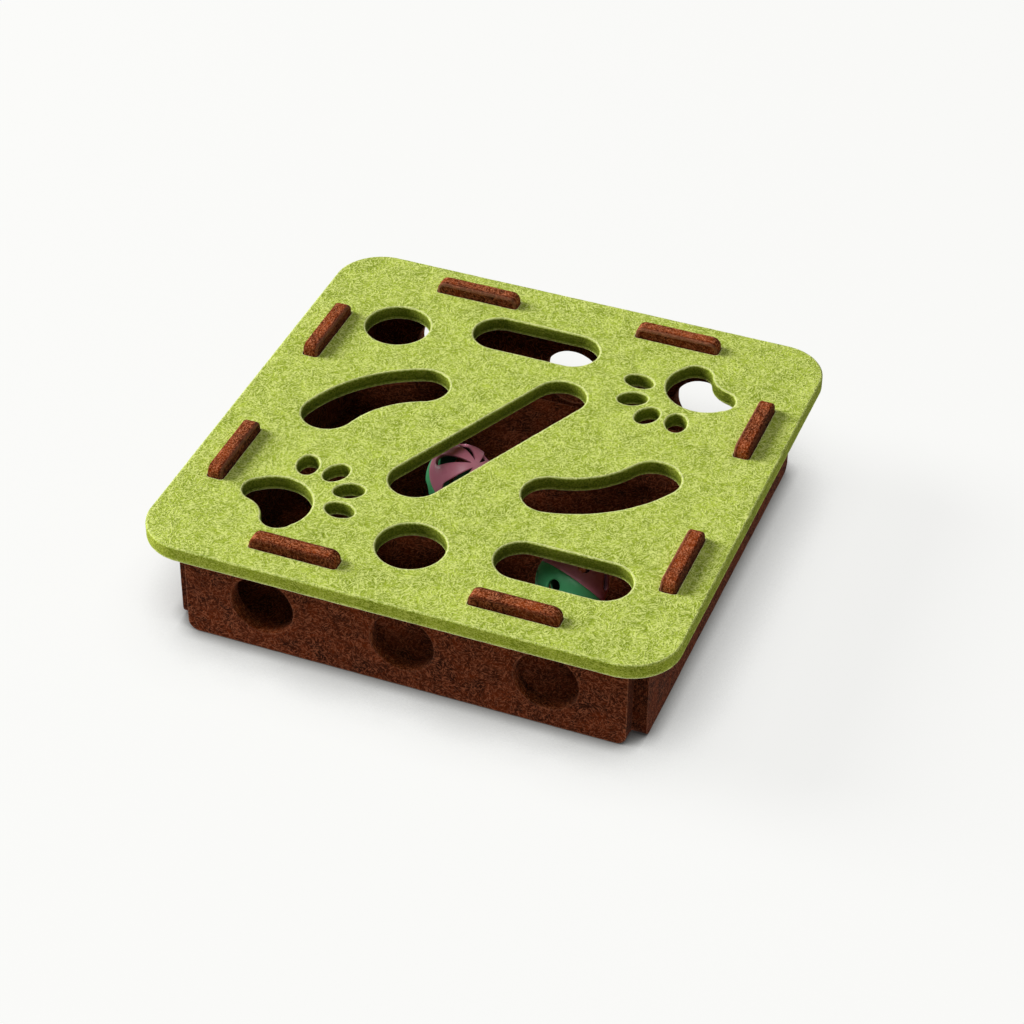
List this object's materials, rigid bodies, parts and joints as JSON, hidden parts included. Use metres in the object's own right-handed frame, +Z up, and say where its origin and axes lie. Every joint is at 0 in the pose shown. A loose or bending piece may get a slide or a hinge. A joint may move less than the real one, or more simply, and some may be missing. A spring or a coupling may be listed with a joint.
{
  "type": "cat felt maze box",
  "caption": "Low square felt box for cats: a lift-off lid with paw-print and slot cut-outs sits on tabbed walls, and hollow two-tone balls with bells roll inside to be fished out.",
  "frame": {"origin": "middle of the footprint, on the surface that the box stands on", "axes": "+Z up, +X to the right along the front wall, +Y from the front wall to the back wall"},
  "size_m": [0.3, 0.3, 0.075],
  "materials": {
    "felt_green": "needle-punched felt board",
    "felt_brown": "needle-punched felt board",
    "plastic_pink": "moulded",
    "plastic_green": "moulded",
    "tinned_steel": "tinned sheet",
    "plain_steel": "plain"
  },
  "bodies": {
    "box": {"front_wall": "felt_brown", "back_wall": "felt_brown", "left_wall": "felt_brown", "right_wall": "felt_brown", "floor_panel": "felt_brown"},
    "lid": {"lid": "felt_green"},
    "bell_1": {"bell_1_cap": "tinned_steel", "bell_1_cup": "tinned_steel"},
    "ball_1": {"ball_1_pink_half": "plastic_pink", "ball_1_green_half": "plastic_green"},
    "pellet_1": {"bell_1_pellet": "plain_steel"},
    "bell_2": {"bell_2_cap": "tinned_steel", "bell_2_cup": "tinned_steel"},
    "ball_2": {"ball_2_pink_half": "plastic_pink", "ball_2_green_half": "plastic_green"},
    "pellet_2": {"bell_2_pellet": "plain_steel"}
  },
  "joints": [
    {"name": "lid_lift", "type": "slide", "parent": "box", "child": "lid", "axis": [0, 0, 1], "range_m": [0, 0.045]},
    {"name": "ball_1_travel", "type": "slide", "parent": "box", "child": "bell_1", "axis": [1, 0, 0], "range_m": [-0.08, 0.129]},
    {"name": "ball_1_roll", "type": "hinge", "parent": "bell_1", "child": "ball_1", "pos_m": [-0.0245, 0.009, 0.0293], "axis": [0, 1, 0], "range_deg": [-231, 371]},
    {"name": "pellet_1_rattle", "type": "hinge", "parent": "bell_1", "child": "pellet_1", "pos_m": [-0.0245, 0.009, 0.0176], "axis": [0, 1, 0], "range_deg": [-70, 70]},
    {"name": "ball_2_travel", "type": "slide", "parent": "box", "child": "bell_2", "axis": [1, 0, 0], "range_m": [-0.17, 0.039]},
    {"name": "ball_2_roll", "type": "hinge", "parent": "bell_2", "child": "ball_2", "pos_m": [0.0655, -0.053, 0.0293], "axis": [0, 1, 0], "range_deg": [-489, 113]},
    {"name": "pellet_2_rattle", "type": "hinge", "parent": "bell_2", "child": "pellet_2", "pos_m": [0.0655, -0.053, 0.0176], "axis": [0, 1, 0], "range_deg": [-70, 70]}
  ],
  "couplings": [
    {"joint": "ball_1_roll", "follows": "ball_1_travel", "rad_per_m": 50},
    {"joint": "ball_2_roll", "follows": "ball_2_travel", "rad_per_m": 50}
  ]
}
